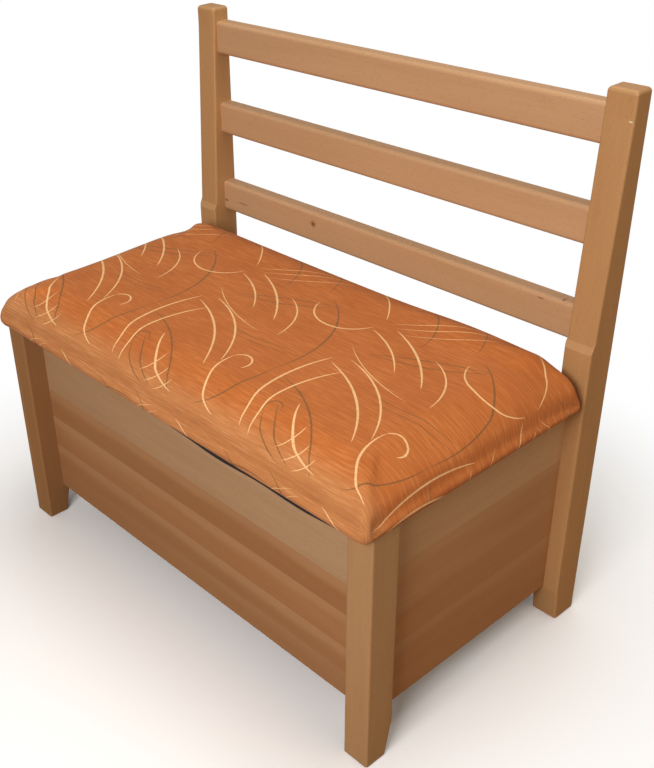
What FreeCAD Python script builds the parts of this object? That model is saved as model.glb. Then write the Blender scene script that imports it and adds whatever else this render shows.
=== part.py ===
import FreeCAD, Part
import math
import os
from FreeCAD import Vector

# Corner storage bench in beech: four posts, a box of glued staves, a ladder back
# and an upholstered seat lid hinged over the box.
# X is the width, -Y the front and +Z up. The pieces are drawn from the front faces of
# the front legs, and export moves them back so that the origin lies on the floor under
# the middle of the whole bench. All sizes are in millimetres.

# Overall frame
benchWidth = 870.0
frameDepth = 500.0
benchHeight = 862.0
boxTop = 413.0
panelBottom = 59.5

# Legs and posts
postWidth = 45.0
frontLegDepth = 52.0
frontFootDepth = 39.0
rearPostDepth = 55.0
rearFootDepth = 48.5
shoulderHeight = 495.0
shoulderRise = 11.0
shoulderStep = 5.0
taperDrop = 36.0
postTopDepth = 34.0
postEdgeRound = 3.5
postTopRound = 6.0
footBevel = 2.0

# Ladder back
railThickness = 28.0
railHeight = 56.0
lowRailRise = 79.0
topRailDrop = 79.0
middleRailLift = 3.0
railRound = 6.5
tenonLength = 22.0
tenonThickness = 12.0
tenonShoulder = 8.0

# Box of glued staves
panelThickness = 18.0
frontInset = 37.5
sideInset = 26.0
backInset = 12.0
staveShares = {
    "front_panel": (0.13, 0.135, 0.175, 0.16, 0.20, 0.20),
    "side_panel_left": (0.12, 0.185, 0.20, 0.20, 0.295),
    "side_panel_right": (0.12, 0.185, 0.20, 0.20, 0.295),
    "back_panel": (0.17, 0.20, 0.21, 0.21, 0.21),
}
staveEdgeRound = 1.5

# Loose tenons between the panels and the posts
looseThickness = 8.0
looseHeight = 26.0
looseDepth = 16.0
looseInset = 6.0

# Storage floor on its cleats
cleatSize = 18.0
cleatRise = 6.0
floorThickness = 8.0
floorGap = 1.0

# Ledge under the lid's rear edge
ledgeHeight = 28.0
ledgeUnderLid = 14.0

# Seat lid: board, foam, cover and underside cloth
seatOverhangSide = 5.0
seatOverhangFront = 20.0
seatRearGap = 12.0
boardThickness = 18.0
coverThickness = 1.5
seatThickness = 74.0
turnUnder = 28.0
seatCornerRadius = 34.0
seatBottomCorner = 20.0

# Raised hinges behind the lid
hingeAxisRise = 45.0
hingePlace = 0.69
hingeLength = 60.0
knuckleRadius = 4.0
pinRadius = 2.0
pinClearance = 0.05
knuckleGap = 0.5
leafThickness = 2.0
leafGap = 0.3
fixedLeafDepth = 24.0
screwRadius = 1.9
screwHeadRadius = 3.9
screwLength = 14.0

# Places worked out from the sizes above
halfWidth = benchWidth / 2
innerX = halfWidth - postWidth
rearPostFront = frameDepth - rearPostDepth
panelHeight = boxTop - panelBottom
sidePanelOuter = halfWidth - sideInset
sidePanelInner = sidePanelOuter - panelThickness
frontPanelBack = frontInset + panelThickness
backPanelFront = frameDepth - backInset - panelThickness
seatHalf = halfWidth + seatOverhangSide
seatFront = -seatOverhangFront
seatRear = rearPostFront - seatRearGap
boardBottom = boxTop + coverThickness
boardTop = boardBottom + boardThickness
ledgeFront = seatRear - ledgeUnderLid
axisY = rearPostFront - knuckleRadius
axisZ = boxTop + hingeAxisRise
armFront = axisY + leafThickness
armBack = armFront + leafThickness
originY = (frameDepth - seatOverhangFront) / 2

os.makedirs("parts", exist_ok=True)


def export(name, shape):
    shape.translated(Vector(0, -originY, 0)).exportStep("parts/" + name + ".step")


def group(solids):
    return Part.makeCompound(solids)


def box(x0, x1, y0, y1, z0, z1):
    return Part.makeBox(x1 - x0, y1 - y0, z1 - z0, Vector(x0, y0, z0))


def mirrored(shape):
    return shape.mirror(Vector(0, 0, 0), Vector(1, 0, 0))


def sideExtrusion(outline, x0, x1):
    """A solid with an outline of (y, z) points, drawn out from x0 to x1."""
    points = [Vector(x0, y, z) for y, z in outline]
    face = Part.Face(Part.makePolygon(points + points[:1]))
    return face.extrude(Vector(x1 - x0, 0, 0))


def rounded(shape, radius, chosen):
    edges = [edge for edge in shape.Edges if chosen(edge)]
    return shape.makeFillet(radius, edges)


def bevelledFoot(shape):
    return shape.makeChamfer(footBevel, [edge for edge in shape.Edges if atHeight(edge, 0)])


def isUpright(edge):
    low, high = edge.BoundBox.ZMin, edge.BoundBox.ZMax
    return high - low > 0.9 * max(edge.BoundBox.XLength, edge.BoundBox.YLength, 20.0)


def isAlongX(edge):
    return edge.BoundBox.XLength > 0.99 * edge.Length


def atHeight(edge, z):
    return abs(edge.BoundBox.ZMin - z) < 0.01 and abs(edge.BoundBox.ZMax - z) < 0.01


def drilled(shape, fittings):
    """The shape with a close hole for each tenon or screw that reaches it."""
    for fitting in fittings:
        if shape.BoundBox.intersect(fitting.BoundBox):
            shape = shape.cut(fitting)
    return shape


# The right-hand legs and posts are drawn, and the left-hand ones mirror them.
def frontLeg():
    outline = [
        (0, 0),
        (frontFootDepth, 0),
        (frontLegDepth, panelBottom),
        (frontLegDepth, boxTop),
        (0, boxTop),
    ]
    leg = sideExtrusion(outline, innerX, halfWidth)
    return bevelledFoot(rounded(leg, postEdgeRound, isUpright))


def rearPost():
    topFront = frameDepth - postTopDepth
    outline = [
        (frameDepth, 0),
        (frameDepth, benchHeight),
        (topFront, benchHeight),
        (topFront, benchHeight - taperDrop),
        (rearPostFront + shoulderStep, shoulderHeight + shoulderRise),
        (rearPostFront, shoulderHeight),
        (rearPostFront, panelBottom),
        (frameDepth - rearFootDepth, 0),
    ]
    post = sideExtrusion(outline, innerX, halfWidth)
    post = rounded(post, postEdgeRound, isUpright)
    post = rounded(post, postTopRound, lambda edge: atHeight(edge, benchHeight))
    return bevelledFoot(post)


# The low rail stands clear of the box, the top one hangs below the post ends and
# the middle one sits just above halfway.
def backRail(bottom):
    front = frameDepth - railThickness
    bar = box(-innerX, innerX, front, frameDepth, bottom, bottom + railHeight)
    bar = rounded(bar, railRound, isAlongX)
    tenonFront = front + (railThickness - tenonThickness) / 2
    tenon = box(
        -innerX - tenonLength,
        innerX + tenonLength,
        tenonFront,
        tenonFront + tenonThickness,
        bottom + tenonShoulder,
        bottom + railHeight - tenonShoulder,
    )
    return bar.fuse(tenon).removeSplitter()


# Each panel is a stack of glued staves, from the bottom up.
panelBoxes = {
    "front_panel": (-innerX, innerX, frontInset, frontPanelBack),
    "side_panel_right": (sidePanelInner, sidePanelOuter, frontLegDepth, rearPostFront),
    "side_panel_left": (-sidePanelOuter, -sidePanelInner, frontLegDepth, rearPostFront),
    "back_panel": (-innerX, innerX, backPanelFront, backPanelFront + panelThickness),
}


def staveHeights(panel):
    shares = staveShares[panel]
    scale = panelHeight / sum(shares)
    heights = [panelBottom]
    for share in shares:
        heights.append(heights[-1] + share * scale)
    return heights


def panelStaves(panel):
    x0, x1, y0, y1 = panelBoxes[panel]
    heights = staveHeights(panel)
    staves = []
    for low, high in zip(heights, heights[1:]):
        stave = box(x0, x1, y0, y1, low, high)
        if low == panelBottom:
            longEdges = [e for e in stave.Edges if atHeight(e, low) and e.Length > panelThickness + 1]
            stave = stave.makeFillet(staveEdgeRound, longEdges)
        staves.append(stave)
    return staves


# Two loose tenons join each end of a panel to its post. The long panels have theirs in
# the lowest stave and the highest but one, and the side panels in two between, so
# that the mortises in a leg never cross.
def looseTenon(x, y, z, alongX):
    along, across = looseDepth, looseThickness / 2
    reachX, reachY = (along, across) if alongX else (across, along)
    reachZ = looseHeight / 2
    return box(x - reachX, x + reachX, y - reachY, y + reachY, z - reachZ, z + reachZ)


def panelTenons():
    tenons = []
    for panel, (x0, x1, y0, y1) in panelBoxes.items():
        heights = staveHeights(panel)
        isLong = x1 - x0 > y1 - y0
        chosen = (0, -2) if isLong else (1, -3)
        ends = [(x, y0 + looseInset) for x in (x0, x1)]
        if not isLong:
            ends = [((x0 + x1) / 2, y) for y in (y0, y1)]
        for index in chosen:
            z = (heights[index] + heights[index + 1]) / 2
            tenons += [looseTenon(x, y, z, isLong) for x, y in ends]
    return tenons


# The storage floor lies on four cleats fixed inside the panels.
def cleats():
    low = panelBottom + cleatRise
    high = low + cleatSize
    back = backPanelFront
    sideFront = frontPanelBack + cleatSize
    sideBack = backPanelFront - cleatSize
    right = box(sidePanelInner - cleatSize, sidePanelInner, sideFront, rearPostFront, low, high)
    return {
        "floor_cleat_front": box(-innerX, innerX, frontPanelBack, sideFront, low, high),
        "floor_cleat_back": box(-innerX, innerX, sideBack, back, low, high),
        "floor_cleat_right": right,
        "floor_cleat_left": mirrored(right),
    }


def rearLedge():
    """A bar on the back panel that carries the lid's rear edge and its hinges."""
    return box(-innerX, innerX, ledgeFront, backPanelFront, boxTop - ledgeHeight, boxTop)


def storageFloor():
    low = panelBottom + cleatRise + cleatSize
    edge = sidePanelInner - floorGap
    front = frontPanelBack + floorGap
    board = box(-edge, edge, front, backPanelFront - floorGap, low, low + floorThickness)
    posts = box(innerX - floorGap, halfWidth, rearPostFront - floorGap, frameDepth, low, low + floorThickness)
    return board.cut(posts).cut(mirrored(posts))


# The seat is a crowned form. Each row of its edge gives a height above the box as a
# share of the seat's thickness, then how far the outline is drawn in at the sides,
# front and rear. Inside the edge the crown rises as a quarter of a sine wave.
seatEdge = (
    (0.00, 2.5, 2.5, 2.0),
    (0.20, 0.0, 0.0, 0.0),
    (0.46, 1.5, 1.5, 0.2),
    (0.64, 7.5, 7.5, 1.6),
    (0.76, 18.5, 18.0, 5.4),
    (0.825, 32.0, 31.0, 14.0),
)
crownInset = (205.0, 172.0, 160.0)
crownSteps = 3


def seatProfile():
    rows = list(seatEdge)
    edgeShare, *edgeInset = seatEdge[-1]
    for step in range(1, crownSteps + 1):
        part = step / crownSteps
        share = edgeShare + (1 - edgeShare) * math.sin(part * math.pi / 2)
        rows.append((share, *[a + part * (b - a) for a, b in zip(edgeInset, crownInset)]))
    return rows


def roundedOutline(x0, x1, y0, y1, z, radius):
    """A closed outline of four lines and four quarter arcs at height z."""
    corners = (
        (x1 - radius, y0 + radius, -90),
        (x1 - radius, y1 - radius, 0),
        (x0 + radius, y1 - radius, 90),
        (x0 + radius, y0 + radius, 180),
    )
    arcs = []
    for cx, cy, start in corners:
        arcPoints = []
        for turn in (0, 45, 90):
            angle = math.radians(start + turn)
            arcPoints.append(Vector(cx + radius * math.cos(angle), cy + radius * math.sin(angle), z))
        arcs.append(arcPoints)
    edges = []
    for index, arc in enumerate(arcs):
        following = arcs[(index + 1) % len(arcs)]
        edges.append(Part.Arc(*arc).toShape())
        edges.append(Part.LineSegment(arc[2], following[0]).toShape())
    return Part.Wire(edges)


def seatForm(skin):
    """The seat's outer form, drawn in everywhere by a skin thickness."""
    wires = []
    for share, side, front, rear in seatProfile():
        lowest = skin if share == 0 else 0
        z = boxTop + lowest + share * (seatThickness - skin)
        growth = min(1.0, share / 0.3)
        radius = seatBottomCorner + (seatCornerRadius - seatBottomCorner) * growth - skin
        outlineHalf = seatHalf - side - skin
        y0 = seatFront + front + skin
        y1 = seatRear - rear - skin
        wires.append(roundedOutline(-outlineHalf, outlineHalf, y0, y1, z, radius))
    return Part.makeLoft(wires, True, True)


def seatLid():
    outer = seatForm(0.0)
    inner = seatForm(coverThickness)
    hole = box(
        -seatHalf + turnUnder,
        seatHalf - turnUnder,
        seatFront + turnUnder,
        seatRear - turnUnder,
        boxTop - 1,
        boardBottom + 1,
    )
    board = inner.common(box(-seatHalf, seatHalf, seatFront, seatRear, boardBottom, boardTop))
    foam = inner.common(box(-seatHalf, seatHalf, seatFront, seatRear, boardTop, benchHeight))
    cover = outer.cut(inner).cut(hole)
    cloth = box(
        -seatHalf + turnUnder,
        seatHalf - turnUnder,
        seatFront + turnUnder,
        seatRear - turnUnder,
        boxTop,
        boardBottom,
    )
    return {
        "seat_board": board,
        "seat_foam": foam,
        "seat_cover": cover,
        "underside_cloth": cloth,
    }


# A hinge stands behind the seat. Its fixed leaf lies on the ledge with two arms that
# rise to the pin, and its moving leaf is screwed to the rear edge of the seat board. The
# seat so turns about a pin near the height of its own top and clears the box.
def knuckle(x0, x1):
    return Part.makeCylinder(knuckleRadius, x1 - x0, Vector(x0, axisY, axisZ), Vector(1, 0, 0))


def pinHole(centre, radius):
    start = Vector(centre - hingeLength, axisY, axisZ)
    return Part.makeCylinder(radius, 2 * hingeLength, start, Vector(1, 0, 0))


def knuckleSpans(centre):
    third = hingeLength / 3
    left = centre - hingeLength / 2
    return (
        (left, left + third - knuckleGap / 2),
        (left + third + knuckleGap / 2, left + 2 * third - knuckleGap / 2),
        (left + 2 * third + knuckleGap / 2, left + hingeLength),
    )


def countersunkScrew(tip, axis):
    """A screw whose head's flat face is centred at tip and whose shank runs along axis."""
    head = Part.makeCone(screwHeadRadius, screwRadius, leafThickness, tip, axis)
    shank = Part.makeCylinder(screwRadius, screwLength, tip, axis)
    return head.fuse(shank).removeSplitter()


def screwCentres(centre):
    return [centre + share * hingeLength for share in (-0.33, 0.33)]


def fixedScrews(centre):
    y = (armBack + armFront + fixedLeafDepth) / 2
    z = boxTop + leafThickness
    return [countersunkScrew(Vector(x, y, z), Vector(0, 0, -1)) for x in screwCentres(centre)]


def movingScrews(centre):
    y = seatRear + leafGap + leafThickness
    z = boardBottom + boardThickness / 2
    return [countersunkScrew(Vector(x, y, z), Vector(0, -1, 0)) for x in screwCentres(centre)]


def fixedLeaf(centre):
    left, middle, right = knuckleSpans(centre)
    leaf = box(left[0], right[1], armFront, armFront + fixedLeafDepth, boxTop, boxTop + leafThickness)
    for x0, x1 in (left, right):
        arm = box(x0, x1, armFront, armBack, boxTop, axisZ)
        leaf = leaf.fuse(arm).fuse(knuckle(x0, x1))
    leaf = leaf.cut(pinHole(centre, pinRadius)).removeSplitter()
    return drilled(leaf, fixedScrews(centre))


def movingLeaf(centre):
    left, middle, right = knuckleSpans(centre)
    front = seatRear + leafGap
    back = front + leafThickness
    top = boardBottom + boardThickness
    plate = box(left[0], right[1], front, back, boardBottom, top)
    arm = box(middle[0], middle[1], front, back, top, axisZ)
    neck = box(middle[0], middle[1], front, axisY, axisZ - leafThickness, axisZ)
    leaf = plate.fuse(arm).fuse(neck).fuse(knuckle(middle[0], middle[1]))
    leaf = leaf.cut(pinHole(centre, pinRadius + pinClearance)).removeSplitter()
    return drilled(leaf, movingScrews(centre))


def hingePin(centre):
    start = Vector(centre - hingeLength / 2, axisY, axisZ)
    return Part.makeCylinder(pinRadius, hingeLength, start, Vector(1, 0, 0))


# Hinge screws, whose holes are cut in the ledge, the seat board and its cover
hingeCentres = {"left": -hingePlace * halfWidth, "right": hingePlace * halfWidth}
ledgeScrews = []
lidScrews = []
for centre in hingeCentres.values():
    ledgeScrews += fixedScrews(centre)
    lidScrews += movingScrews(centre)
export("fixed_leaf_screws", group(ledgeScrews))
export("moving_leaf_screws", group(lidScrews))

# Wooden frame
lowRail = boxTop + lowRailRise
topRail = benchHeight - topRailDrop
middleRail = (lowRail + topRail) / 2 + middleRailLift
rails = {"low": backRail(lowRail), "middle": backRail(middleRail), "top": backRail(topRail)}
tenons = panelTenons()
leg = frontLeg()
post = rearPost()
for rail in rails.values():
    post = post.cut(rail)
uprights = {
    "front_leg_right": leg,
    "front_leg_left": mirrored(leg),
    "rear_post_right": post,
    "rear_post_left": mirrored(post),
}
for name, shape in uprights.items():
    export(name, drilled(shape, tenons))
for name, rail in rails.items():
    export("back_rail_" + name, rail)
for panel in panelBoxes:
    for number, stave in enumerate(panelStaves(panel), start=1):
        export(panel + "_stave_" + str(number), drilled(stave, tenons))
export("panel_tenons", group(tenons))
for name, cleat in cleats().items():
    export(name, cleat)
export("storage_floor", storageFloor())
export("rear_ledge", drilled(rearLedge(), ledgeScrews))

# Hinges
for side, centre in hingeCentres.items():
    export("fixed_leaf_" + side, fixedLeaf(centre))
    export("moving_leaf_" + side, movingLeaf(centre))
    export("hinge_pin_" + side, hingePin(centre))

# Seat lid
for name, shape in seatLid().items():
    if name in ("seat_board", "seat_cover"):
        shape = drilled(shape, lidScrews)
    export(name, shape)
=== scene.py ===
import math
import bpy
import bmesh
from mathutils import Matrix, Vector


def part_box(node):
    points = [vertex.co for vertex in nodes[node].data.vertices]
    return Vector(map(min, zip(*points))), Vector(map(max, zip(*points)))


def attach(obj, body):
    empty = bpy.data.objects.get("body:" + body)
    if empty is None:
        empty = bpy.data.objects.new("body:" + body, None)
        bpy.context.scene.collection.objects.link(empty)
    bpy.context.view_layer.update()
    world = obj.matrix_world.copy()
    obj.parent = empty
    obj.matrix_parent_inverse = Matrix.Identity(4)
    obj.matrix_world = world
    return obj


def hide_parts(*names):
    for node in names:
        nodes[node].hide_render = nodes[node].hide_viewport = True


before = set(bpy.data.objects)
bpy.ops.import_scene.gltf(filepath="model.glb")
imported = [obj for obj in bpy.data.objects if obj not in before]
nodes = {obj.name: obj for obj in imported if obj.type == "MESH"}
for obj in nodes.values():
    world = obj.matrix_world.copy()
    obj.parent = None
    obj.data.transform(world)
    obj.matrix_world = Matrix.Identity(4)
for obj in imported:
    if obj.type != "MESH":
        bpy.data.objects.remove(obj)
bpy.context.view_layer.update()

print("frame loaded")


# Helpers for node trees
# Gives a socket its value, or links it to the output that value is
def wire(tree, socket, value):
    if isinstance(value, bpy.types.NodeSocket):
        tree.links.new(value, socket)
    else:
        socket.default_value = value


def add(tree, kind, inputs=None, **settings):
    made = tree.nodes.new(kind)
    for name, value in settings.items():
        setattr(made, name, value)
    for name, value in (inputs or {}).items():
        wire(tree, made.inputs[name], value)
    return made


def calc(tree, operation, *values, clamp=False):
    made = add(tree, "ShaderNodeMath", operation=operation, use_clamp=clamp)
    for place, value in enumerate(values):
        wire(tree, made.inputs[place], value)
    return made.outputs[0]


def calcVector(tree, operation, *values):
    made = add(tree, "ShaderNodeVectorMath", operation=operation)
    for place, value in enumerate(values):
        wire(tree, made.inputs[place], value)
    return made.outputs["Vector"]


# A vector's length, or two vectors' dot product
def measure(tree, operation, *values):
    made = add(tree, "ShaderNodeVectorMath", operation=operation)
    for place, value in enumerate(values):
        wire(tree, made.inputs[place], value)
    return made.outputs["Value"]


def mixColor(tree, factor, first, second, blend="MIX"):
    made = add(tree, "ShaderNodeMix", data_type="RGBA", blend_type=blend)
    wire(tree, made.inputs[0], factor)
    wire(tree, made.inputs[6], first)
    wire(tree, made.inputs[7], second)
    return made.outputs[2]


def remap(tree, value, low, high, toLow=0.0, toHigh=1.0, smooth=False):
    made = add(tree, "ShaderNodeMapRange", interpolation_type="SMOOTHSTEP" if smooth else "LINEAR")
    ends = {"Value": value, "From Min": low, "From Max": high, "To Min": toLow, "To Max": toHigh}
    for name, number in ends.items():
        wire(tree, made.inputs[name], number)
    return made.outputs["Result"]


def noiseOf(tree, vector, scale, detail=3.0, roughness=0.5, distortion=0.0):
    made = add(tree, "ShaderNodeTexNoise", {"Vector": vector, "Scale": scale, "Detail": detail})
    wire(tree, made.inputs["Roughness"], roughness)
    wire(tree, made.inputs["Distortion"], distortion)
    return made.outputs["Fac"]


# A shader node group with its input and output nodes
def newGroup(name, takes, gives):
    tree = bpy.data.node_groups.new(name, "ShaderNodeTree")
    for label, kind in takes:
        tree.interface.new_socket(label, in_out="INPUT", socket_type="NodeSocket" + kind)
    for label, kind in gives:
        tree.interface.new_socket(label, in_out="OUTPUT", socket_type="NodeSocket" + kind)
    return tree, tree.nodes.new("NodeGroupInput").outputs, tree.nodes.new("NodeGroupOutput").inputs


def useGroup(tree, group, inputs):
    made = tree.nodes.new("ShaderNodeGroup")
    made.node_tree = group
    for name, value in inputs.items():
        wire(tree, made.inputs[name], value)
    return made.outputs


def newMaterial(name):
    material = bpy.data.materials.new(name)
    material.use_nodes = True
    tree = material.node_tree
    return material, tree, tree.nodes["Principled BSDF"]


def dress(obj, material):
    obj.data.materials.clear()
    obj.data.materials.append(material)
    for polygon in obj.data.polygons:
        polygon.material_index = 0


# Shared wood grain: X runs along the grain
grainSettings = {
    "wide": (1.6, 17.0, 17.0),
    "fine": (9.0, 260.0, 260.0),
    "fleck": (130.0, 900.0, 900.0),
    "figure": (3.4, 30.0, 30.0),
    "poreEdge": (0.62, 0.74),
    "wideShare": 0.7,
    "fineShare": 0.3,
}


def makeGrain():
    tree, takes, gives = newGroup(
        "woodGrain",
        [("Place", "Vector"), ("Seed", "Float")],
        [("Tone", "Float"), ("Figure", "Float"), ("Pores", "Float"), ("Height", "Float")],
    )
    shift = add(tree, "ShaderNodeCombineXYZ", {"X": takes["Seed"], "Y": takes["Seed"], "Z": takes["Seed"]})
    place = calcVector(tree, "ADD", takes["Place"], shift.outputs[0])
    wide = calcVector(tree, "MULTIPLY", place, grainSettings["wide"])
    fine = calcVector(tree, "MULTIPLY", place, grainSettings["fine"])
    fleck = calcVector(tree, "MULTIPLY", place, grainSettings["fleck"])
    figure = calcVector(tree, "MULTIPLY", place, grainSettings["figure"])
    broad = noiseOf(tree, wide, 1.0, 3.0, 0.55, 0.6)
    thin = noiseOf(tree, fine, 1.0, 3.0, 0.6)
    bands = add(
        tree,
        "ShaderNodeTexWave",
        {"Vector": figure, "Scale": 0.35, "Distortion": 7.0, "Detail": 2.0, "Detail Scale": 0.7},
        bands_direction="Y",
    )
    speckle = noiseOf(tree, fleck, 1.0, 1.0, 0.5)
    pores = remap(tree, speckle, *grainSettings["poreEdge"], smooth=True)
    broadPart = calc(tree, "MULTIPLY", broad, grainSettings["wideShare"])
    thinPart = calc(tree, "MULTIPLY", thin, grainSettings["fineShare"])
    wire(tree, gives["Tone"], calc(tree, "ADD", broadPart, thinPart))
    wire(tree, gives["Figure"], bands.outputs["Fac"])
    wire(tree, gives["Pores"], pores)
    wire(tree, gives["Height"], calc(tree, "SUBTRACT", calc(tree, "MULTIPLY", thin, 0.4), pores))
    return tree


# A soft spot of any size about a point, for knots, specks and nicks
def makeSpot():
    tree, takes, gives = newGroup(
        "softSpot",
        [("Place", "Vector"), ("Centre", "Vector"), ("Reach", "Vector"), ("Ragged", "Float")],
        [("Mask", "Float")],
    )
    offset = calcVector(tree, "SUBTRACT", takes["Place"], takes["Centre"])
    share = calcVector(tree, "DIVIDE", offset, takes["Reach"])
    length = measure(tree, "LENGTH", share)
    ripple = noiseOf(tree, takes["Place"], 260.0, 2.0)
    uneven = calc(tree, "MULTIPLY", calc(tree, "SUBTRACT", ripple, 0.5), takes["Ragged"])
    distance = calc(tree, "ADD", length, uneven)
    wire(tree, gives["Mask"], remap(tree, distance, 1.0, 0.45, smooth=True))
    return tree


woodGrain = makeGrain()
softSpot = makeSpot()
grainTurn = {"X": ("X", "Y", "Z"), "Y": ("Y", "X", "Z"), "Z": ("Z", "X", "Y")}


# The place on the piece, turned so that X runs along its grain
def grainPlace(tree, along):
    place = add(tree, "ShaderNodeTexCoord").outputs["Object"]
    parts = add(tree, "ShaderNodeSeparateXYZ", {"Vector": place}).outputs
    first, second, third = grainTurn[along]
    turned = add(tree, "ShaderNodeCombineXYZ", {"X": parts[first], "Y": parts[second], "Z": parts[third]})
    return place, turned.outputs[0]


# Lacquered beech. A mark is a (centre, reach, colour, strength, ragged) spot
def beech(name, along, seed, look, marks=()):
    material, tree, shader = newMaterial(name)
    place, turned = grainPlace(tree, along)
    grain = useGroup(tree, woodGrain, {"Place": turned, "Seed": seed})
    tone = remap(tree, grain["Tone"], 0.32, 0.68)
    color = mixColor(tree, tone, look["dark"], look["light"])
    figure = calc(tree, "MULTIPLY", grain["Figure"], look["figure"])
    color = mixColor(tree, figure, color, look["band"])
    color = mixColor(tree, calc(tree, "MULTIPLY", grain["Pores"], look["poreDepth"]), color, look["pore"])
    for centre, reach, tint, strength, ragged in marks:
        inputs = {"Place": place, "Centre": centre, "Reach": reach, "Ragged": ragged}
        spot = useGroup(tree, softSpot, inputs)
        color = mixColor(tree, calc(tree, "MULTIPLY", spot["Mask"], strength), color, tint)
    wire(tree, shader.inputs["Base Color"], color)
    rough = remap(tree, grain["Tone"], 0.3, 0.7, look["rough"] + 0.05, look["rough"] - 0.03)
    wire(tree, shader.inputs["Roughness"], rough)
    bump = add(tree, "ShaderNodeBump", {"Height": grain["Height"], "Strength": 0.12, "Distance": 0.0004})
    wire(tree, shader.inputs["Normal"], bump.outputs[0])
    shader.inputs["Specular IOR Level"].default_value = look["gloss"]
    return material


def wooden(node, *rest):
    obj = nodes[node]
    dress(obj, beech(node + "_wood", *rest))


postLook = {
    "light": (0.50, 0.275, 0.115, 1),
    "dark": (0.43, 0.225, 0.088, 1),
    "band": (0.46, 0.235, 0.095, 1),
    "pore": (0.24, 0.11, 0.045, 1),
    "poreDepth": 0.35,
    "figure": 0.25,
    "rough": 0.42,
    "gloss": 0.45,
}
railLook = dict(
    postLook,
    light=(0.56, 0.33, 0.175, 1),
    dark=(0.49, 0.275, 0.135, 1),
    band=(0.51, 0.285, 0.142, 1),
)
rightLegLook = dict(postLook, light=(0.42, 0.25, 0.12, 1), dark=(0.36, 0.20, 0.088, 1))
leftLegLook = dict(
    postLook,
    light=(0.36, 0.185, 0.078, 1),
    dark=(0.28, 0.135, 0.050, 1),
    band=(0.30, 0.145, 0.055, 1),
)

# Uprights, the right rear one with a small nick near its top
uprightSeeds = {
    "front_leg_left": 1.3,
    "front_leg_right": 2.9,
    "rear_post_left": 4.1,
    "rear_post_right": 6.7,
}
legLooks = {"front_leg_left": leftLegLook, "front_leg_right": rightLegLook}
nickSpot = ((0.4302, 0.225, 0.823), (0.004, 0.01, 0.0016), (0.75, 0.62, 0.42, 1), 0.85, 0.4)
for node, seed in uprightSeeds.items():
    look = legLooks.get(node, postLook)
    wooden(node, "Z", seed, look, [nickSpot] if node == "rear_post_right" else [])

# Back rails, the low one with a knot and dark specks at both ends
speckTint = (0.09, 0.04, 0.02, 1)
lowRailMarks = [
    ((-0.150, 0.232, 0.5267), (0.009, 0.02, 0.008), (0.30, 0.13, 0.05, 1), 0.75, 0.5),
    ((-0.150, 0.232, 0.5267), (0.003, 0.02, 0.003), speckTint, 0.8, 0.3),
    ((-0.338, 0.232, 0.5155), (0.02, 0.02, 0.0018), (0.22, 0.10, 0.045, 1), 0.6, 1.2),
    ((-0.386, 0.232, 0.512), (0.006, 0.02, 0.003), speckTint, 0.7, 1.0),
    ((0.3257, 0.232, 0.5412), (0.008, 0.02, 0.0014), speckTint, 0.7, 0.8),
    ((0.3609, 0.232, 0.5481), (0.003, 0.02, 0.0018), speckTint, 0.6, 0.8),
]
for node, seed, marks in (
    ("back_rail_top", 1.9, []),
    ("back_rail_middle", 3.4, []),
    ("back_rail_low", 5.2, lowRailMarks),
):
    wooden(node, "X", seed, railLook, marks)

# Glued staves, each from its own board: how light and how red, from the lowest up
staveTints = {
    "front_panel": ((0.93, 0.0), (0.94, 0.1), (0.97, 0.2), (0.88, 0.3), (1.14, -1.4), (1.25, -1.7)),
    "side_panel_right": ((1.06, 0.3), (1.10, 0.2), (1.04, 0.3), (1.16, -0.2), (1.38, -1.2)),
    "side_panel_left": ((0.92, 0.1), (0.97, 0.1), (0.9, 0.1), (1.0, 0.1), (0.95, 0.1)),
    "back_panel": ((0.96, 0.1), (1.0, 0.1), (0.93, 0.1), (0.98, 0.1), (1.0, 0.1)),
}
staveLook = dict(
    postLook,
    light=(0.42, 0.215, 0.098, 1),
    dark=(0.35, 0.165, 0.068, 1),
    band=(0.32, 0.145, 0.057, 1),
    figure=0.4,
)
redShift = {"r": 0.06, "g": -0.10, "b": -0.30}
jointGlow = {"staves": (2, 3, 4), "depth": 0.018, "tint": (0.50, 0.30, 0.155, 1), "strength": 0.32}


def tinted(color, light, red):
    r, g, b, a = color
    r *= light * (1 + redShift["r"] * red)
    g *= light * (1 + redShift["g"] * red)
    b *= light * (1 + redShift["b"] * red)
    return (r, g, b, a)


# Lightens a stave under its upper glued joint
def staveJoint(material, node):
    tree = material.node_tree
    shader = tree.nodes["Principled BSDF"]
    below = shader.inputs["Base Color"].links[0].from_socket
    place = add(tree, "ShaderNodeTexCoord").outputs["Object"]
    height = add(tree, "ShaderNodeSeparateXYZ", {"Vector": place}).outputs["Z"]
    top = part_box(node)[1][2]
    wavy = calc(tree, "MULTIPLY", noiseOf(tree, place, 6.0, 2.0), jointGlow["depth"])
    fromTop = calc(tree, "SUBTRACT", calc(tree, "SUBTRACT", top, height), wavy)
    glow = remap(tree, fromTop, jointGlow["depth"], 0.0, smooth=True)
    glow = calc(tree, "MULTIPLY", glow, jointGlow["strength"])
    wire(tree, shader.inputs["Base Color"], mixColor(tree, glow, below, jointGlow["tint"]))


for panel, tints in staveTints.items():
    along = "Y" if panel.startswith("side") else "X"
    for number, (light, red) in enumerate(tints, start=1):
        node = panel + "_stave_" + str(number)
        look = dict(staveLook)
        for part in ("light", "dark", "band"):
            look[part] = tinted(staveLook[part], light, red)
        wooden(node, along, 2.3 * number + len(panel), look)
        if number in jointGlow["staves"]:
            staveJoint(nodes[node].data.materials[0], node)

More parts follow.
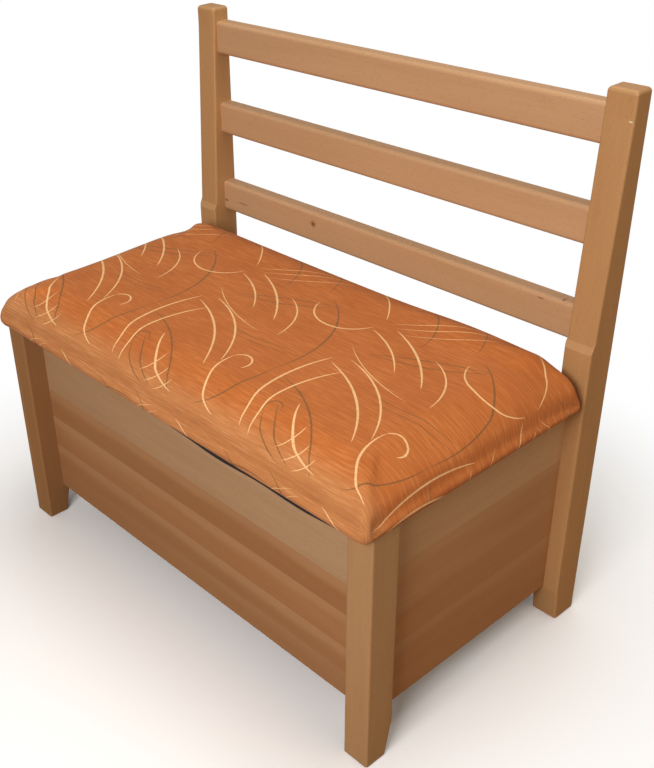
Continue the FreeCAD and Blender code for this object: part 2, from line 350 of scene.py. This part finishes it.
# Inner pieces in plainer wood
innerLook = dict(railLook, figure=0.15, rough=0.6, gloss=0.3)
for node in ("rear_ledge", "floor_cleat_front", "floor_cleat_back"):
    wooden(node, "X", 3.3, innerLook)
for node in ("floor_cleat_left", "floor_cleat_right"):
    wooden(node, "Y", 5.7, innerLook)
for node, slot in (("storage_floor", "plywood"), ("panel_tenons", "tenon_wood")):
    dress(nodes[node], beech(node + "_wood", "X", 7.1, innerLook))
print("wood done")


# Hinge steel, zinc plated
zincLook = {
    "dull": (0.62, 0.61, 0.57, 1),
    "bright": (0.72, 0.72, 0.70, 1),
    "cloudScale": 90.0,
    "rough": (0.28, 0.42),
}


def zincSteel():
    material, tree, shader = newMaterial("hinge_steel")
    place = add(tree, "ShaderNodeTexCoord").outputs["Object"]
    cloudy = noiseOf(tree, place, zincLook["cloudScale"], 3.0)
    color = mixColor(tree, cloudy, zincLook["dull"], zincLook["bright"])
    wire(tree, shader.inputs["Base Color"], color)
    wire(tree, shader.inputs["Roughness"], remap(tree, cloudy, 0.3, 0.7, *zincLook["rough"]))
    shader.inputs["Metallic"].default_value = 1.0
    return material


steel = zincSteel()
for node, obj in nodes.items():
    if "leaf" in node or "pin" in node:
        dress(obj, steel)


# Black cloth under the seat board, also used for the strip of painted shade under the front hem
blackClothAndShadeLook = {"dark": (0.008, 0.007, 0.008, 1), "light": (0.022, 0.020, 0.022, 1), "feltScale": 900.0}


def makeBlackClothAndShade():
    material, tree, shader = newMaterial("underside_cloth")
    place = add(tree, "ShaderNodeTexCoord").outputs["Object"]
    felt = noiseOf(tree, place, blackClothAndShadeLook["feltScale"], 2.0)
    color = mixColor(tree, felt, blackClothAndShadeLook["dark"], blackClothAndShadeLook["light"])
    wire(tree, shader.inputs["Base Color"], color)
    shader.inputs["Roughness"].default_value = 0.95
    return material


blackClothAndShade = makeBlackClothAndShade()
dress(nodes["underside_cloth"], blackClothAndShade)

# Cushion: a crowned form drawn in at the sides, swollen by a cloth simulation
seatLow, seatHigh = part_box("seat_cover")
cushionForm = {
    # share of the height, then how far in the side, the front and the rear lie, in millimetres
    "rows": (
        (0.00, 3.0, 3.0, 2.5),
        (0.18, 0.5, 0.5, 0.5),
        (0.40, 1.0, 1.0, 0.0),
        (0.56, 4.0, 4.0, 0.3),
        (0.67, 10.0, 10.0, 1.0),
        (0.76, 18.0, 19.0, 2.0),
        (0.83, 27.0, 29.0, 4.0),
        (0.89, 38.0, 41.0, 7.5),
        (0.94, 54.0, 57.0, 14.0),
        (0.975, 82.0, 82.0, 32.0),
        (0.99, 125.0, 118.0, 65.0),
        (1.00, 185.0, 165.0, 120.0),
    ),
    "corners": {"front right": 0.008, "rear right": 0.006, "rear left": 0.012, "front left": 0.024},
    "cornerGrowth": 0.010,
    "grownAt": 0.6,
    "widestCorner": 0.05,
    "cornerSteps": 10,
    "sideSteps": 40,
    "sideDraw": 0.0035,
    "voxel": 0.006,
    "pressure": 4.0,
    "frames": 20,
    "cap": 0.008,
    "heldHeight": 0.012,
    "crownRise": 0.002,
}


# One closed row of points about the seat at a share of its height
def cushionRow(share, side, front, rear):
    shape = cushionForm
    grown = shape["cornerGrowth"] * min(1.0, share / shape["grownAt"])
    least = min(side / 2000, shape["widestCorner"])
    radii = [max(corner + grown, least) for corner in shape["corners"].values()]
    lowX, highX = seatLow[0] + side / 1000, seatHigh[0] - side / 1000
    lowY, highY = seatLow[1] + front / 1000, seatHigh[1] - rear / 1000
    centre = Vector(((lowX + highX) / 2, (lowY + highY) / 2))
    half = Vector(((highX - lowX) / 2, (highY - lowY) / 2))
    z = seatLow[2] + share * (seatHigh[2] - seatLow[2])
    corners = ((1, -1, -90), (1, 1, 0), (-1, 1, 90), (-1, -1, 180))
    points = []
    for place, (signX, signY, start) in enumerate(corners):
        radius = radii[place]
        hub = Vector((signX * (half.x - radius), signY * (half.y - radius)))
        for step in range(shape["cornerSteps"] + 1):
            angle = math.radians(start + 90 * step / shape["cornerSteps"])
            points.append(hub + radius * Vector((math.cos(angle), math.sin(angle))))
        nextX, nextY, nextStart = corners[(place + 1) % 4]
        turn = math.radians(nextStart)
        radius = radii[(place + 1) % 4]
        hub = Vector((nextX * (half.x - radius), nextY * (half.y - radius)))
        target = hub + radius * Vector((math.cos(turn), math.sin(turn)))
        origin = points[-1].copy()
        for step in range(1, shape["sideSteps"]):
            points.append(origin.lerp(target, step / shape["sideSteps"]))
    draw = shape["sideDraw"] * min(1.0, share * 4)
    drawn = []
    for point in points:
        inX = draw * (1 - (point.y / half.y) ** 2) * abs(point.x / half.x) ** 6
        inY = draw * (1 - (point.x / half.x) ** 2) * abs(point.y / half.y) ** 6
        x = point.x - math.copysign(inX, point.x)
        y = point.y - math.copysign(inY, point.y)
        drawn.append((centre.x + x, centre.y + y, z))
    return drawn


def cushionStart():
    work = bmesh.new()
    rings = []
    for row in cushionForm["rows"]:
        rings.append([work.verts.new(point) for point in cushionRow(*row)])
    for lower, upper in zip(rings, rings[1:]):
        for place in range(len(lower)):
            after = (place + 1) % len(lower)
            work.faces.new((lower[place], lower[after], upper[after], upper[place]))
    work.faces.new(rings[0][::-1])
    work.faces.new(rings[-1])
    mesh = bpy.data.meshes.new("seat_cushion")
    work.to_mesh(mesh)
    work.free()
    obj = bpy.data.objects.new("seat_cushion", mesh)
    bpy.context.scene.collection.objects.link(obj)
    return obj


# Replaces the object's mesh by what its modifiers make of it
def settle(obj):
    graph = bpy.context.evaluated_depsgraph_get()
    graph.update()
    shaped = bpy.data.meshes.new_from_object(obj.evaluated_get(graph))
    obj.modifiers.clear()
    obj.data = shaped


# Blows the cushion up a little as cloth held at its hem, each point by no more than the cap
def swell(obj):
    rest = [vertex.co.copy() for vertex in obj.data.vertices]
    held = obj.vertex_groups.new(name="held")
    for index, point in enumerate(rest):
        rise = (point.z - seatLow[2]) / cushionForm["heldHeight"]
        if rise < 1.0:
            held.add([index], min(1.0, 1.2 - rise), "REPLACE")
    cloth = obj.modifiers.new("Cloth", "CLOTH")
    cloth.settings.use_pressure = True
    cloth.settings.uniform_pressure_force = cushionForm["pressure"]
    cloth.settings.effector_weights.gravity = 0.0
    cloth.settings.vertex_group_mass = "held"
    scene = bpy.context.scene
    for step in range(1, cushionForm["frames"] + 1):
        scene.frame_set(step)
    graph = bpy.context.evaluated_depsgraph_get()
    swollen = [vertex.co.copy() for vertex in obj.evaluated_get(graph).data.vertices]
    obj.modifiers.clear()
    obj.vertex_groups.clear()
    scene.frame_set(1)
    for vertex, before, after in zip(obj.data.vertices, rest, swollen):
        move = after - before
        if move.length > cushionForm["cap"]:
            move = move.normalized() * cushionForm["cap"]
        vertex.co = before + move


def smoothBetween(low, high, value):
    share = min(1.0, max(0.0, (value - low) / (high - low)))
    return share * share * (3 - 2 * share)


# Scales the swollen cushion back to the seat's own width, depth and crown
def fitSeat(obj):
    points = [vertex.co for vertex in obj.data.vertices]
    goalLow = Vector(seatLow)
    goalHigh = Vector(seatHigh) + Vector((0, 0, cushionForm["crownRise"]))
    low = Vector([min(point[axis] for point in points) for axis in range(3)])
    high = Vector([max(point[axis] for point in points) for axis in range(3)])
    for point in points:
        for axis in range(3):
            share = (point[axis] - low[axis]) / (high[axis] - low[axis])
            point[axis] = goalLow[axis] + share * (goalHigh[axis] - goalLow[axis])


def bell(value, middle, spread):
    return math.exp(-(((value - middle) / spread) ** 2))


# How the shoulders are filled out, in metres
shoulderFill = {
    "rearRise": 0.0095,
    "rearExtra": 0.005,
    "rearExtraX": 0.25,
    "rearExtraSpread": 0.1,
    "rearPlace": 0.026,
    "rearSpread": 0.045,
    "postClear": (0.365, 0.405),
    "heights": (0.027, 0.052),
    "sideRise": 0.0065,
    "sideStart": (-0.2, 0.1),
    "sidePlace": 0.045,
    "sideSpread": 0.035,
}


# Fills out the rear shoulder between the posts and, less, the two side shoulders
def fillShoulders(obj):
    fill = shoulderFill
    for vertex in obj.data.vertices:
        point = vertex.co
        height = smoothBetween(*fill["heights"], point.z - seatLow[2])
        rear = bell(point.y, seatHigh[1] - fill["rearPlace"], fill["rearSpread"])
        extra = fill["rearExtra"] * bell(point.x, fill["rearExtraX"], fill["rearExtraSpread"])
        rise = fill["rearRise"] + extra
        betweenPosts = 1 - smoothBetween(*fill["postClear"], abs(point.x))
        side = bell(abs(point.x), seatHigh[0] - fill["sidePlace"], fill["sideSpread"])
        side *= smoothBetween(*fill["sideStart"], point.y)
        point.z += height * (rise * rear * betweenPosts + fill["sideRise"] * side * (1 - rear))


hemForm = {
    "height": 0.006,
    "turn": 0.005,
    "lift": 0.0004,
    "hollow": 0.0032,
    "flatUpTo": 0.0015,
    "rear": 0.0002,
}


# Flattens the underside, turns the hem up round the underside cloth and keeps the box
def shapeHem(obj):
    shape = hemForm
    clothLow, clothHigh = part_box("underside_cloth")
    for vertex in obj.data.vertices:
        point = vertex.co
        rise = point.z - seatLow[2]
        if rise < shape["height"]:
            inX = smoothBetween(0.0, shape["turn"], clothHigh[0] - abs(point.x))
            inY = smoothBetween(0.0, shape["turn"], min(point.y - clothLow[1], clothHigh[1] - point.y))
            flat = seatLow[2] + shape["lift"] + shape["hollow"] * min(inX, inY)
            under = 1 - smoothBetween(shape["flatUpTo"], shape["height"], rise)
            point.z += (flat - point.z) * under
        point.y = min(point.y, seatHigh[1] - shape["rear"])


cushion = cushionStart()
remesh = cushion.modifiers.new("Remesh", "REMESH")
remesh.mode = "VOXEL"
remesh.voxel_size = cushionForm["voxel"]
settle(cushion)
swell(cushion)
smooth = cushion.modifiers.new("Smooth", "SMOOTH")
smooth.iterations = 3
settle(cushion)
subdivide = cushion.modifiers.new("Subdivision", "SUBSURF")
subdivide.levels = 1
settle(cushion)
fitSeat(cushion)
fillShoulders(cushion)
shapeHem(cushion)
for polygon in cushion.data.polygons:
    polygon.use_smooth = True
print("cushion shaped", len(cushion.data.vertices))

# Fabric strokes as arcs through three points, in millimetres on the flat cloth
tile = (0.298, 0.470)
tileMiddleY = (seatLow[1] + seatHigh[1]) / 2
creamStrokes = (
    ((-118, -205), (-142, -110), (-128, -8), 1.9),
    ((-96, -212), (-112, -128), (-88, -30), 1.7),
    ((-120, -20), (-34, -62), (44, -150), 1.9),
    ((-104, 4), (-10, -40), (58, -128), 1.7),
    ((-132, 36), (-60, -6), (30, -28), 0.9),
    ((128, -214), (74, -168), (62, -104), 1.8),
    ((62, -104), (84, -92), (96, -122), 1.6),
    ((-70, -130), (-20, -190), (34, -216), 2.0),
    ((-46, -206), (-34, -186), (-26, -160), 1.1),
    ((-24, -222), (-10, -204), (-2, -178), 1.1),
    ((-2, -230), (14, -214), (20, -190), 1.0),
    ((-146, 96), (-84, 66), (-36, 20), 1.6),
    ((-118, 118), (-44, 78), (20, 12), 1.9),
    ((-16, 86), (36, 46), (60, -18), 1.4),
    ((26, 110), (92, 60), (146, 104), 1.6),
    ((-140, 128), (-66, 172), (8, 214), 0.8),
    ((-124, 122), (-50, 164), (22, 208), 0.8),
    ((-104, 112), (-36, 150), (32, 192), 0.7),
    ((60, 214), (112, 176), (146, 132), 1.4),
)
brownStrokes = (
    ((38, 128), (118, 40), (132, -90), 1.8),
    ((132, -90), (120, -160), (82, -214), 1.6),
    ((-140, -96), (-44, -138), (30, -224), 1.6),
    ((-96, 36), (-20, 80), (64, 116), 1.4),
    ((-96, 36), (-8, 64), (64, 116), 1.3),
    ((-92, -150), (-52, -196), (-10, -226), 1.4),
    ((-104, -168), (-66, -208), (-24, -232), 1.3),
    ((-104, -168), (-98, -146), (-80, -158), 1.2),
    ((-20, -44), (54, -46), (128, -28), 1.0),
    ((-14, -56), (56, -58), (134, -40), 0.9),
    ((-130, 210), (-70, 150), (-58, 100), 1.4),
    ((-40, 222), (0, 180), (14, 140), 1.2),
    ((-148, 176), (-100, 196), (-36, 196), 1.1),
)


# Centre, radius, middle angle and half the span of the arc through three points, in metres
def arcThrough(first, middle, last):
    (ax, ay), (bx, by), (cx, cy) = [(x / 1000, y / 1000) for x, y in (first, middle, last)]
    d = 2 * (ax * (by - cy) + bx * (cy - ay) + cx * (ay - by))
    aa, bb, cc = ax * ax + ay * ay, bx * bx + by * by, cx * cx + cy * cy
    x = (aa * (by - cy) + bb * (cy - ay) + cc * (ay - by)) / d
    y = (aa * (cx - bx) + bb * (ax - cx) + cc * (bx - ax)) / d
    radius = math.hypot(ax - x, ay - y)
    start = math.atan2(ay - y, ax - x)
    half = math.atan2(by - y, bx - x)
    end = math.atan2(cy - y, cx - x)
    turn = 1 if (bx - ax) * (cy - by) - (by - ay) * (cx - bx) > 0 else -1
    toEnd = (turn * (end - start)) % (2 * math.pi)
    return (x, y), radius, start + turn * toEnd / 2, toEnd / 2


# One woven stroke, repeated by the tile and thinned towards its ends
def makeStroke():
    tree, takes, gives = newGroup(
        "wovenStroke",
        [
            ("Cloth", "Vector"),
            ("Middle", "Vector"),
            ("Centre", "Vector"),
            ("Radius", "Float"),
            ("Angle", "Float"),
            ("Half", "Float"),
            ("Width", "Float"),
        ],
        [("Mask", "Float")],
    )
    offset = calcVector(tree, "SUBTRACT", takes["Cloth"], takes["Middle"])
    halfTile = (tile[0] / 2, tile[1] / 2, 1)
    wrapped = calcVector(tree, "WRAP", offset, halfTile, tuple(-side for side in halfTile))
    spoke = calcVector(tree, "SUBTRACT", wrapped, takes["Centre"])
    length = measure(tree, "LENGTH", spoke)
    side = calc(tree, "ABSOLUTE", calc(tree, "SUBTRACT", length, takes["Radius"]))
    spokeX = measure(tree, "DOT_PRODUCT", spoke, (1, 0, 0))
    spokeY = measure(tree, "DOT_PRODUCT", spoke, (0, 1, 0))
    angle = calc(tree, "SUBTRACT", calc(tree, "ARCTAN2", spokeY, spokeX), takes["Angle"])
    angle = calc(tree, "WRAP", angle, math.pi, -math.pi)
    share = calc(tree, "DIVIDE", angle, takes["Half"])
    taper = calc(tree, "SUBTRACT", 1.0, calc(tree, "MULTIPLY", share, share), clamp=True)
    taper = calc(tree, "POWER", taper, 0.45)
    reach = calc(tree, "MULTIPLY", takes["Width"], taper)
    inside = calc(tree, "SUBTRACT", reach, side)
    mask = remap(tree, inside, -0.0003, 0.0006, smooth=True)
    wire(tree, gives["Mask"], calc(tree, "MULTIPLY", mask, calc(tree, "GREATER_THAN", taper, 0.02)))
    return tree


# Chenille: slubs along X, a fine rib across them and a nap of darker points
weaveSettings = {
    "slub": (22.0, 330.0, 1.0),
    "cloudy": (7.0, 13.0, 1.0),
    "yarn": (210.0, 820.0, 1.0),
    "rows": (160.0, 1000.0, 1.0),
    "dashes": (36.0, 520.0, 1.0),
    "dashEdge": (0.60, 0.74),
    "slubShare": 0.75,
    "yarnShare": 0.7,
}


def makeChenille():
    tree, takes, gives = newGroup(
        "chenille",
        [("Cloth", "Vector")],
        [("Streak", "Float"), ("Dark", "Float"), ("Break", "Float"), ("Height", "Float")],
    )
    stretched = {}
    for name in ("slub", "cloudy", "yarn", "rows", "dashes"):
        stretched[name] = calcVector(tree, "MULTIPLY", takes["Cloth"], weaveSettings[name])
    slub = noiseOf(tree, stretched["slub"], 1.0, 4.0, 0.6)
    cloudy = noiseOf(tree, stretched["cloudy"], 1.0, 2.0)
    yarn = noiseOf(tree, stretched["yarn"], 1.0, 2.0, 0.6)
    waves = {"Vector": stretched["rows"], "Scale": 0.32, "Distortion": 1.6}
    rib = add(tree, "ShaderNodeTexWave", waves, bands_direction="Y").outputs["Fac"]
    dashes = noiseOf(tree, stretched["dashes"], 1.0, 2.0, 0.5)
    slubPart = calc(tree, "MULTIPLY", slub, weaveSettings["slubShare"])
    cloudPart = calc(tree, "MULTIPLY", cloudy, 1 - weaveSettings["slubShare"])
    yarnPart = calc(tree, "MULTIPLY", yarn, weaveSettings["yarnShare"])
    ribPart = calc(tree, "MULTIPLY", rib, 1 - weaveSettings["yarnShare"])
    wire(tree, gives["Streak"], calc(tree, "ADD", slubPart, cloudPart))
    wire(tree, gives["Dark"], remap(tree, dashes, *weaveSettings["dashEdge"], smooth=True))
    wire(tree, gives["Break"], yarn)
    wire(tree, gives["Height"], calc(tree, "ADD", yarnPart, ribPart))
    return tree


fabricLook = {
    "base": (0.50, 0.150, 0.032, 1),
    "light": (0.58, 0.200, 0.060, 1),
    "dark": (0.40, 0.108, 0.024, 1),
    "nap": (0.27, 0.068, 0.016, 1),
    "cream": (0.86, 0.56, 0.27, 1),
    "brown": (0.175, 0.088, 0.032, 1),
    # painted sheen: the colour that the front and left rolls are multiplied by, and where these rolls lie
    "paintedSheen": (1.06, 1.45, 2.2, 1),
    "frontRoll": (-0.165, -0.225),
    "leftRoll": (-0.33, -0.43),
    "leftShare": 0.6,
    "jitter": 0.0009,
    "napDepth": 0.55,
    "worn": (0.35, 0.92),
}


def strokeMask(tree, stroke, cloth, strokes):
    mask = 0.0
    for first, middle, last, width in strokes:
        (x, y), radius, angle, half = arcThrough(first, middle, last)
        along = (radius * math.cos(angle), radius * math.sin(angle))
        inputs = {
            "Cloth": cloth,
            "Middle": (x + along[0], y + along[1], 0),
            "Centre": (-along[0], -along[1], 0),
            "Radius": radius,
            "Angle": angle,
            "Half": half,
            "Width": width / 1000,
        }
        mask = calc(tree, "MAXIMUM", useGroup(tree, stroke, inputs)["Mask"], mask)
    return mask


def seatFabric():
    material, tree, shader = newMaterial("seat_fabric")
    flat = add(tree, "ShaderNodeAttribute", attribute_name="cloth").outputs["Vector"]
    cloth = useGroup(tree, makeChenille(), {"Cloth": flat})
    jitter = calc(tree, "MULTIPLY", calc(tree, "SUBTRACT", cloth["Break"], 0.5), fabricLook["jitter"])
    shake = add(tree, "ShaderNodeCombineXYZ", {"X": jitter, "Y": jitter}).outputs[0]
    shaken = calcVector(tree, "ADD", flat, shake)
    stroke = makeStroke()
    cream = strokeMask(tree, stroke, shaken, creamStrokes)
    brown = strokeMask(tree, stroke, shaken, brownStrokes)
    tone = remap(tree, cloth["Streak"], 0.34, 0.60)
    color = mixColor(tree, tone, fabricLook["dark"], fabricLook["base"])
    color = mixColor(tree, remap(tree, cloth["Streak"], 0.52, 0.72), color, fabricLook["light"])
    nap = calc(tree, "MULTIPLY", cloth["Dark"], fabricLook["napDepth"])
    color = mixColor(tree, nap, color, fabricLook["nap"])
    # Painted sheen: towards the front roll and the left roll the colour is multiplied paler and pinker,
    # standing in for the chenille's sheen where the light grazes
    flatX = measure(tree, "DOT_PRODUCT", flat, (1, 0, 0))
    flatY = measure(tree, "DOT_PRODUCT", flat, (0, 1, 0))
    front = remap(tree, flatY, *fabricLook["frontRoll"], smooth=True)
    left = remap(tree, flatX, *fabricLook["leftRoll"], 0.0, fabricLook["leftShare"], smooth=True)
    paintedSheenShare = calc(tree, "MAXIMUM", front, left)
    color = mixColor(tree, paintedSheenShare, color, fabricLook["paintedSheen"], blend="MULTIPLY")
    worn = remap(tree, cloth["Break"], 0.30, 0.52, *fabricLook["worn"])
    color = mixColor(tree, calc(tree, "MULTIPLY", brown, worn), color, fabricLook["brown"])
    color = mixColor(tree, calc(tree, "MULTIPLY", cream, worn), color, fabricLook["cream"])
    wire(tree, shader.inputs["Base Color"], color)
    shader.inputs["Roughness"].default_value = 0.9
    shader.inputs["Specular IOR Level"].default_value = 0.2
    shader.inputs["Sheen Weight"].default_value = 0.12
    shader.inputs["Sheen Tint"].default_value = (0.9, 0.62, 0.45, 1)
    bump = add(tree, "ShaderNodeBump", {"Height": cloth["Height"], "Strength": 0.5, "Distance": 0.0008})
    wire(tree, shader.inputs["Normal"], bump.outputs[0])
    return material


layForm = {"shoulderDrop": 0.020, "leastTilt": 0.05, "turn": 2.0}


# Stores each point's place on the flat cloth, which runs on down the sides
def layCloth(obj):
    shoulder = seatHigh[2] - layForm["shoulderDrop"]
    values = []
    for vertex in obj.data.vertices:
        x, y, z = vertex.co
        drop = max(0.0, shoulder - z)
        out = Vector((vertex.normal.x, vertex.normal.y))
        if out.length > layForm["leastTilt"]:
            out = out.normalized() * min(1.0, out.length * layForm["turn"])
        values += [x + out.x * drop, y + out.y * drop - tileMiddleY, 0.0]
    layer = obj.data.attributes.new("cloth", "FLOAT_VECTOR", "POINT")
    layer.data.foreach_set("vector", values)


layCloth(cushion)
dress(cushion, seatFabric())
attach(cushion, "seat_lid")
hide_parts("seat_cover", "seat_foam", "seat_board")
print("fabric done")

# A thin black strip under the front hem: painted shade for the dark gap line between the hem and the front
# panel
hemShadeStrip = {
    "left": 0.050,
    "right": 0.396,
    "deepest": 0.0072,
    "least": 0.0003,
    "hidden": 0.0015,
    "thickness": 0.0012,
    "inset": 0.0042,
    "steps": 60,
    "endPower": 0.6,
    "ripple": 0.28,
    "ripples": 1.9,
    "rippleStart": -0.55,
}


def makeHemShadeStrip():
    work = bmesh.new()
    front = seatLow[1] + hemShadeStrip["inset"]
    rows = []
    for step in range(hemShadeStrip["steps"] + 1):
        share = step / hemShadeStrip["steps"]
        x = hemShadeStrip["left"] + share * (hemShadeStrip["right"] - hemShadeStrip["left"])
        swellShare = math.sin(math.pi * share) ** hemShadeStrip["endPower"]
        turns = share * hemShadeStrip["ripples"] + hemShadeStrip["rippleStart"]
        wave = 1 - hemShadeStrip["ripple"] + hemShadeStrip["ripple"] * math.cos(2 * math.pi * turns)
        depth = hemShadeStrip["least"] + hemShadeStrip["deepest"] * swellShare * wave
        top = seatLow[2] + hemShadeStrip["hidden"]
        low = seatLow[2] - depth
        back = front + hemShadeStrip["thickness"]
        section = ((x, front, top), (x, front, low), (x, back, low), (x, back, top))
        rows.append([work.verts.new(place) for place in section])
    for before, after in zip(rows, rows[1:]):
        for place in range(4):
            following = (place + 1) % 4
            work.faces.new((before[place], before[following], after[following], after[place]))
    work.faces.new(rows[0][::-1])
    work.faces.new(rows[-1])
    bmesh.ops.recalc_face_normals(work, faces=work.faces)
    mesh = bpy.data.meshes.new("hem_shade_strip")
    work.to_mesh(mesh)
    work.free()
    obj = bpy.data.objects.new("hem_shade_strip", mesh)
    bpy.context.scene.collection.objects.link(obj)
    # Dressed in the black cloth, so the strip paints the shade under the hem
    dress(obj, blackClothAndShade)
    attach(obj, "seat_lid")


makeHemShadeStrip()

# Floor, light and camera
floorLook = {
    "size": 14.0,
    "seen": (0.95, 0.95, 0.95, 1),
    "bounced": (0.26, 0.14, 0.07, 1),
    "clear": 0.42,  # up to this far from the middle the floor is plain
    "white": 0.95,  # and from here on it is pure white
}
bpy.ops.mesh.primitive_plane_add(size=floorLook["size"], location=(0, 0, 0))
floor = bpy.context.object
floor.name = "floor"


# White to the camera, pure white away from the bench, and brown to the light that it sends up
def whiteFloor():
    material, tree, shader = newMaterial("floor")
    isSeen = add(tree, "ShaderNodeLightPath").outputs["Is Camera Ray"]
    color = mixColor(tree, isSeen, floorLook["bounced"], floorLook["seen"])
    wire(tree, shader.inputs["Base Color"], color)
    shader.inputs["Roughness"].default_value = 0.9
    shader.inputs["Specular IOR Level"].default_value = 0.0
    place = add(tree, "ShaderNodeTexCoord").outputs["Object"]
    distance = measure(tree, "LENGTH", place)
    away = remap(tree, distance, floorLook["clear"], floorLook["white"], smooth=True)
    share = calc(tree, "MULTIPLY", away, isSeen)
    white = add(tree, "ShaderNodeEmission", {"Color": (1, 1, 1, 1), "Strength": 1.0}).outputs[0]
    mixed = add(tree, "ShaderNodeMixShader", {0: share, 1: shader.outputs[0], 2: white})
    wire(tree, tree.nodes["Material Output"].inputs["Surface"], mixed.outputs[0])
    return material


dress(floor, whiteFloor())

worldLook = {"warm": (0.94, 0.87, 0.78, 1), "white": (1, 1, 1, 1), "strength": 0.33}
world = bpy.data.worlds.new("studio")
bpy.context.scene.world = world
world.use_nodes = True
sky = world.node_tree
isCamera = add(sky, "ShaderNodeLightPath").outputs["Is Camera Ray"]
background = sky.nodes["Background"]
seenShare = calc(sky, "MULTIPLY", isCamera, 1 - worldLook["strength"])
wire(sky, background.inputs["Color"], mixColor(sky, isCamera, worldLook["warm"], worldLook["white"]))
wire(sky, background.inputs["Strength"], calc(sky, "ADD", seenShare, worldLook["strength"]))

lampTarget = (0, 0, 0.4)
lampSettings = {
    "key": {"place": (0.9, -2.1, 1.6), "size": 1.2, "watts": 50.0, "tint": (1.0, 0.97, 0.96)},
    "side": {"place": (2.6, 0.3, 1.4), "size": 1.4, "watts": 7.5, "tint": (1.0, 0.80, 0.50)},
    "left": {"place": (-2.4, -1.4, 1.8), "size": 1.6, "watts": 2.0, "tint": (1.0, 0.97, 0.93)},
    "top": {"place": (0.2, 0.4, 3.0), "size": 1.6, "watts": 31.0, "tint": (1.0, 0.97, 0.93)},
}
for name, lamp in lampSettings.items():
    light = bpy.data.lights.new(name, "AREA")
    light.energy = lamp["watts"]
    light.size = lamp["size"]
    light.color = lamp["tint"]
    obj = bpy.data.objects.new(name, light)
    obj.location = lamp["place"]
    aim = Vector(lampTarget) - Vector(lamp["place"])
    obj.rotation_euler = aim.to_track_quat("-Z", "Y").to_euler()
    bpy.context.scene.collection.objects.link(obj)

# The photograph's own view point, with its three axes
cameraSettings = {
    "place": (1.142988, -1.031903, 1.248043),
    "right": (0.65476, 0.75465, -0.04239),
    "up": (-0.37138, 0.37006, 0.85155),
    "back": (0.65830, -0.54182, 0.52256),
    "lens": 50.914,
    "shiftX": 0.1199,
    "shiftY": 0.0384,
}
lens = bpy.data.cameras.new("camera")
lens.lens = cameraSettings["lens"]
lens.sensor_width = 36.0
lens.shift_x = cameraSettings["shiftX"]
lens.shift_y = cameraSettings["shiftY"]
lens.clip_start = 0.05
camera = bpy.data.objects.new("camera", lens)
bpy.context.scene.collection.objects.link(camera)
right, up, back = [Vector(cameraSettings[side]) for side in ("right", "up", "back")]
turned = camera.matrix_world.to_3x3()
for row in range(3):
    turned[row] = (right[row], up[row], back[row])
camera.rotation_mode = "QUATERNION"
camera.rotation_quaternion = turned.to_quaternion()
camera.location = cameraSettings["place"]
bpy.context.scene.camera = camera
bpy.context.scene.view_settings.view_transform = "Standard"

print("scene done")
